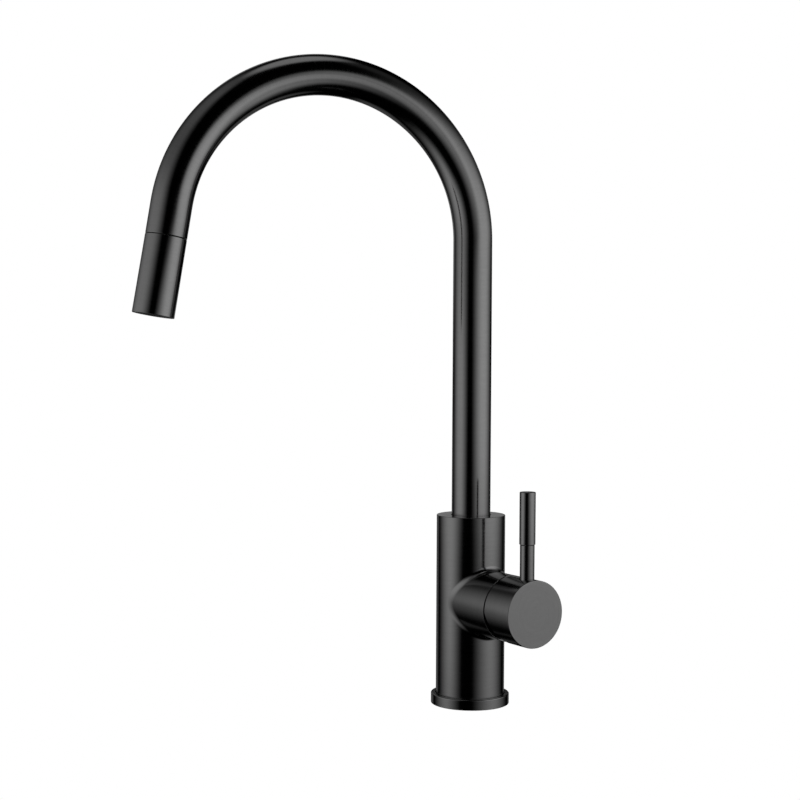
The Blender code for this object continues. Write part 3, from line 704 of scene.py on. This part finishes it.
def make_dome():
    opening, wall, dome = 11.5 * MM, 1.1 * MM, 19.2 * MM
    flat, skirt, skirt_bottom = 48.2 * MM, 19.9 * MM, 44.6 * MM

    def arc(radius, start, end, count):
        angles = [start + (end - start) * i / (count - 1) for i in range(count)]
        return [(radius * math.sin(a), PIVOT_REACH + radius * math.cos(a)) for a in angles]

    inner = dome - wall
    cover = revolve("dome", [
        *arc(dome, math.asin(opening / dome), math.acos((flat - PIVOT_REACH) / dome), 12),
        (skirt, flat, 0.3 * MM), (skirt, skirt_bottom), (skirt - wall, skirt_bottom),
        (skirt - wall, flat - wall),
        *arc(inner, math.acos((flat - wall - PIVOT_REACH) / inner), math.asin(opening / inner), 12),
    ], VALVE, sides=96)
    finish_piece(cover, "faucet_body", ["dome_cover"])


# Handle

def slab(name, low, high, matrix):
    """A placed block, only to cut with."""
    points = [matrix @ Vector((x, y, z)) for x in (low[0], high[0]) for y in (low[1], high[1])
              for z in (low[2], high[2])]
    faces = [(0, 1, 3, 2), (4, 6, 7, 5), (0, 4, 5, 1), (2, 3, 7, 6), (0, 2, 6, 4), (1, 5, 7, 3)]
    return build(name, points, faces, None, [(0.0, 0.0)] * 24, "gunmetal")


def make_knob():
    hollow_back = math.acos((KNOB_BACK - PIVOT_REACH) / KNOB_HOLLOW)
    socket, socket_end, screw, steps = 3.5 * MM, 72.4 * MM, 2.5 * MM, 15
    stud, stud_top, stud_end, through = 3.3 * MM, 20.6 * MM, 9.4 * MM, 30.0 * MM
    rod_hole = LEVER_RADIUS + GAP
    hollow_end = math.asin(socket / KNOB_HOLLOW)
    hollow = []
    for i in range(steps + 1):
        angle = hollow_back + (hollow_end - hollow_back) * i / steps
        hollow.append((KNOB_HOLLOW * math.sin(angle), PIVOT_REACH + KNOB_HOLLOW * math.cos(angle)))
    knob = revolve("knob_hub", [
        (0.0, KNOB_FACE), (BRANCH_RADIUS, KNOB_FACE, 0.45 * MM), (BRANCH_RADIUS, KNOB_BACK, 0.3 * MM),
        *hollow, (socket, socket_end), (0.0, socket_end),
    ], VALVE)
    lean = (Matrix.Translation((KNOB_BACK, 0.0, VALVE_HEIGHT))
            @ Matrix.Rotation(math.pi / 2.0, 4, "Y") @ Matrix.Rotation(-TILT_RANGE, 4, "Y"))
    slope = slab("slope", (0.0, -0.04, -0.06), (0.06, 0.04, 0.0), lean)
    carve(knob, slope)
    screw_hole = revolve("screw_hole", [(0.0, 0.0), (screw, 0.0), (screw, -through), (0.0, -through)],
                         LEVER, sides=48)
    carve(knob, screw_hole)
    stud_hole = revolve("stud_hole", [
        (0.0, through), (rod_hole, through), (rod_hole, stud_top), (stud, stud_top),
        (stud, stud_end), (0.0, stud_end),
    ], LEVER, sides=64)
    carve(knob, stud_hole)
    true_normals(knob, [(VALVE, BRANCH_RADIUS), (LEVER, rod_hole), (LEVER, screw)],
                 [X_WAY, (lean.to_3x3() @ Z_WAY).normalized(), Z_WAY])
    finish_piece(knob, "handle", ["knob"])


def make_lever():
    pin, pin_top, pin_hole = 3.2 * MM, 60.0 * MM, 3.5 * MM
    stud, stud_top, stud_end = 3.0 * MM, 20.9 * MM, 9.7 * MM
    rod = revolve("lever_rod_smooth", [
        (0.0, pin_top), (pin, pin_top, 0.3 * MM), (pin, LEVER_TOP),
        (LEVER_RADIUS, LEVER_TOP, 0.3 * MM), (LEVER_RADIUS, stud_top), (stud, stud_top),
        (stud, stud_end), (0.0, stud_end),
    ], LEVER, sides=72)
    finish_piece(rod, "handle", ["lever_rod"])
    grip = revolve("lever_grip_smooth", [
        (0.0, GRIP_TOP), (GRIP_RADIUS, GRIP_TOP, 0.45 * MM),
        (GRIP_RADIUS, LEVER_TOP + GAP, 0.35 * MM), (pin_hole, LEVER_TOP + GAP),
        (pin_hole, pin_top + 0.5 * MM), (0.0, pin_top + 0.5 * MM),
    ], LEVER, sides=72)
    finish_piece(grip, "handle", ["lever_grip"])


# Spout and head

def make_spout():
    tube = revolve("gooseneck", [
        (TUBE_RADIUS, SPOUT.length, 0.4 * MM), (TUBE_RADIUS, 0.0), (TUBE_INSIDE, 0.0),
        (TUBE_INSIDE, SPOUT.length, 0.2 * MM),
    ], SPOUT, sides=112, stride=3.0 * MM)
    finish_piece(tube, "spout", ["spout_tube"])


def make_dock():
    """What shows up inside the spout's mouth when the head is pulled. Heights are from the seam."""
    outer = TUBE_INSIDE - GAP
    sleeve = revolve("dock_sleeve_smooth", [
        (outer, 10.0 * MM), (outer, 1.0 * MM, 0.3 * MM), (11.6 * MM, 1.0 * MM, 0.2 * MM),
        (11.0 * MM, 2.0 * MM, 0.3 * MM), (11.0 * MM, 10.0 * MM),
    ], OUTLET, "black_plastic", 72)
    finish_piece(sleeve, "spout", ["dock_sleeve"])
    magnet = ring("dock_magnet_smooth", 8.6 * MM, outer, 10.3 * MM, 14.3 * MM, OUTLET, "magnet")
    finish_piece(magnet, "spout", ["dock_magnet"])
    guide = revolve("hose_guide_smooth", [
        (outer, 21.5 * MM), (outer, 14.6 * MM), (7.7 * MM, 14.6 * MM, 0.5 * MM),
        (7.7 * MM, 19.5 * MM, 0.5 * MM), (9.5 * MM, 21.5 * MM),
    ], OUTLET, "black_plastic", 72)
    finish_piece(guide, "spout", ["hose_guide"])


# Hose

def make_hoses():
    """Braided hose up the body and round the spout, and the short stretch in the spout's mouth above the
    head.
    """
    lower = ring("hose_lower", HOSE_BORE, HOSE_RADIUS, SHANK_BOTTOM - MM, HOSE_SPLIT, UPRIGHT,
                 "hose_braid", 48, 0.3 * MM)
    finish_piece(lower, "faucet_body", ["hose_in_body"])
    upper = revolve("hose_upper", [
        (HOSE_RADIUS, SPOUT.length - HOSE_OUT), (HOSE_RADIUS, HOSE_SPLIT + GAP - TUBE_BOTTOM),
        (HOSE_BORE, HOSE_SPLIT + GAP - TUBE_BOTTOM), (HOSE_BORE, SPOUT.length - HOSE_OUT),
    ], SPOUT, "hose_braid", 32, 4.0 * MM)
    finish_piece(upper, "spout", ["hose_in_spout"])
    # Its steps are short
    top, bottom, step = HOSE_OUT - 0.05 * MM, 12.3 * MM, 0.08 * MM
    pulled = revolve("hose_pulled", [
        (HOSE_RADIUS, top), (HOSE_RADIUS, bottom), (HOSE_BORE, bottom), (HOSE_BORE, top),
    ], OUTLET, "hose_braid", 40, step)
    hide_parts("hose_end")
    OUTLET.at(top)[0]
    OUTLET.at(bottom)[0]
    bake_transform(pulled)


def make_ferrule():
    outer, crimped, crimp = 7.2 * MM, 6.85 * MM, 1.3 * MM
    outline = [(outer, 20.5 * MM, 0.3 * MM)]
    for middle in (18.3 * MM, 15.4 * MM, 12.5 * MM):
        outline += [(outer, middle + crimp / 2.0, 0.12 * MM), (crimped, middle + crimp / 4.0, 0.12 * MM),
                    (crimped, middle - crimp / 4.0, 0.12 * MM), (outer, middle - crimp / 2.0, 0.12 * MM)]
    ferrule = revolve("ferrule", [
        *outline, (outer, 10.2 * MM, 0.4 * MM), (3.9 * MM, 10.2 * MM), (3.9 * MM, -7.0 * MM),
        (6.5 * MM, -7.0 * MM, 0.2 * MM), (6.5 * MM, -8.4 * MM, 0.2 * MM), (2.8 * MM, -8.4 * MM),
        (2.8 * MM, 11.7 * MM), (6.3 * MM, 11.7 * MM), (6.3 * MM, 20.5 * MM),
    ], OUTLET, "steel", 72)
    finish_piece(ferrule, "hose_end_body", ["hose_ferrule"])


def make_head():
    shell = revolve("head_sleeve", [
        (TUBE_RADIUS, -GAP, 0.45 * MM), (HEAD_END_RADIUS, HEAD_END, 0.3 * MM),
        (13.0 * MM, HEAD_END, 0.2 * MM), (12.8 * MM, -1.9 * MM), (10.9 * MM, -1.9 * MM),
        (10.9 * MM, -0.3 * MM, 0.2 * MM),
    ], OUTLET)
    finish_piece(shell, "spray_head", ["head_shell"])
    nose = 10.6 * MM
    core = revolve("head_core_smooth", [
        (nose, 8.2 * MM), (nose, -2.2 * MM), (12.4 * MM, -2.2 * MM), (12.4 * MM, CORE_END),
        (10.0 * MM, CORE_END), (10.0 * MM, -24.5 * MM), (3.5 * MM, -24.5 * MM),
        (3.5 * MM, -22.3 * MM), (5.9 * MM, -22.3 * MM), (5.9 * MM, -10.5 * MM),
        (8.3 * MM, -10.5 * MM), (8.3 * MM, 8.2 * MM),
    ], OUTLET, "black_plastic", 72)
    finish_piece(core, "spray_head", ["head_core"])
    plate = ring("dock_plate_smooth", 4.4 * MM, nose, 8.4 * MM, 9.7 * MM, OUTLET, "steel", 72, 0.25 * MM)
    finish_piece(plate, "spray_head", ["dock_plate"])


def make_outlet():
    """The black ring and the white insert whose jets show under the head."""
    face, lip = HEAD_END + 0.35 * MM, HEAD_END + 1.55 * MM
    top = CORE_END - GAP
    nozzle = revolve("outlet_ring_smooth", [
        (12.6 * MM, top), (12.6 * MM, face, 0.4 * MM), (9.2 * MM, face, 0.5 * MM),
        (9.2 * MM, lip, 0.2 * MM), (10.6 * MM, lip), (10.6 * MM, top),
    ], OUTLET, "black_plastic", 96)
    finish_piece(nozzle, "spray_head", ["outlet_ring"])
    insert_top = top - 1.7 * MM
    insert = revolve("aerator_smooth", [
        (0.0, insert_top - 4.0 * MM), (7.5 * MM, insert_top - 4.0 * MM), (8.3 * MM, insert_top),
        (10.3 * MM, insert_top), (10.3 * MM, lip + GAP, 0.3 * MM), (0.0, lip + GAP),
    ], OUTLET, "white_plastic", 72)
    middle, side, third, axis = OUTLET.at(0.0)
    jets = 8
    for i in range(jets):
        turn = 2.0 * math.pi * (i + 0.37) / jets
        off = (side * math.cos(turn) + third * math.sin(turn)) * (5.6 * MM)
        jet = revolve("jet", [
            (0.0, insert_top + MM), (1.2 * MM, insert_top + MM), (1.2 * MM, lip - MM), (0.0, lip - MM),
        ], Straight(middle + off, axis, side), "white_plastic", 24)
        carve(insert, jet)
    true_normals(insert, [(OUTLET, 10.3 * MM)], [axis])
    finish_piece(insert, "spray_head", ["aerator_insert"])


# Clamping under the deck

def make_shank():
    crest, root, pitch = SHANK_RADIUS, SHANK_RADIUS - 0.75 * MM, 1.5 * MM
    top, bottom = 20.0 * MM, SHANK_BOTTOM
    outline = [(crest, top, 0.3 * MM)]
    turns = 37
    for i in range(turns):
        start = -5.0 * MM - i * pitch
        outline += [(crest, start), (root, start - pitch * 0.45), (root, start - pitch * 0.55),
                    (crest, start - pitch * 0.9)]
    outline += [(crest, start - pitch), (root, bottom), (SHANK_BORE, bottom), (SHANK_BORE, top)]
    shank = revolve("threaded_shank", outline, UPRIGHT, "brass", 72)
    finish_piece(shank, "faucet_body", ["mounting_shank"])


def make_nut():
    corner, top, bottom, chamfer = 25.0 * MM, -35.6 * MM, -45.6 * MM, 1.3 * MM
    across = corner * math.cos(math.pi / 6.0)
    turns = [math.pi / 2.0 + math.pi * i / 3.0 for i in range(6)]
    points = [(corner * math.cos(t), corner * math.sin(t), z) for z in (bottom, top) for t in turns]
    faces = [tuple(range(5, -1, -1)), tuple(range(6, 12))]
    faces += [(i, (i + 1) % 6, (i + 1) % 6 + 6, i + 6) for i in range(6)]
    nut = build("hex_nut", points, faces, None, [(0.0, 0.0)] * 36, "brass")
    bevel = revolve("bevel", [
        (0.0, top + MM), (across - 0.2 * MM, top + MM), (across - 0.2 * MM, top),
        (corner + 0.2 * MM, top - chamfer), (corner + 0.2 * MM, bottom + chamfer),
        (across - 0.2 * MM, bottom), (across - 0.2 * MM, bottom - MM), (0.0, bottom - MM),
    ], UPRIGHT, "brass", 96)
    carve(nut, bevel, "INTERSECT")
    bore = revolve("nut_bore", [
        (0.0, top + MM), (SHANK_RADIUS + GAP, top + MM), (SHANK_RADIUS + GAP, bottom - MM),
        (0.0, bottom - MM),
    ], UPRIGHT, "brass", 96)
    carve(nut, bore)
    true_normals(nut, [(UPRIGHT, SHANK_RADIUS + GAP)], [Z_WAY])
    finish_piece(nut, "faucet_body", ["mounting_nut"])


def make_clamp():
    hole = SHANK_RADIUS + 0.5 * MM
    for name, node, outer, bottom, top, look, round_off in (
            ("seal_washer_smooth", "deck_seal_washer", 27.0, -33.0, -30.0, "rubber", 0.6),
            ("clamp_washer_smooth", "clamp_washer", 26.0, -35.3, -33.3, "steel", 0.35)):
        washer = ring(name, hole, outer * MM, bottom * MM, top * MM, UPRIGHT, look, 96, round_off * MM)
        finish_piece(washer, "faucet_body", [node])
    for name, node, bottom, top, look in (
            ("gasket_smooth", "base_gasket", 0.0, 3.0, "rubber"),
            ("plug_smooth", "base_plug", 3.3, 16.0, "brass")):
        disc = ring(name, SHANK_RADIUS + GAP, BODY_BORE - GAP, bottom * MM, top * MM, UPRIGHT, look, 96)
        finish_piece(disc, "faucet_body", [node])


def make_outlet_pipe():
    """The rigid pipe beside the hose, with the coupler that the hose's other end plugs into."""
    axis = Straight((-10.4 * MM, 0.0, 0.0), Z_WAY, X_WAY)
    pipe = ring("outlet_pipe_smooth", 2.7 * MM, 3.5 * MM, -74.0 * MM, 60.5 * MM, axis, "steel", 48)
    finish_piece(pipe, "faucet_body", ["outlet_pipe"])
    outer, groove = 5.2 * MM, 4.6 * MM
    coupler = revolve("coupler_smooth", [
        (outer, -65.0 * MM, 0.4 * MM), (outer, -77.6 * MM, 0.2 * MM), (groove, -77.6 * MM, 0.15 * MM),
        (groove, -79.4 * MM, 0.15 * MM), (outer, -79.4 * MM, 0.2 * MM), (outer, -82.0 * MM, 0.4 * MM),
        (2.7 * MM, -82.0 * MM, 0.4 * MM), (2.7 * MM, -74.3 * MM), (3.8 * MM, -74.3 * MM),
        (3.8 * MM, -65.0 * MM, 0.2 * MM),
    ], axis, "brass", 64)
    finish_piece(coupler, "faucet_body", ["outlet_coupler"])


make_flange()
make_body()
finish_piece(branch_fillet(FILLET_WIDTH), "faucet_body")
make_dome()
make_knob()
make_lever()
make_spout()
make_dock()
make_hoses()
make_ferrule()
make_head()
make_outlet()
make_shank()
make_nut()
make_clamp()
make_outlet_pipe()


# Every CAD node that still shows gets its slot's material

def dress_nodes():
    for node in NODES.values():
        for slot in node.material_slots:
            slot.material = LOOKS[slot.material.name.split(".")[0]]


dress_nodes()
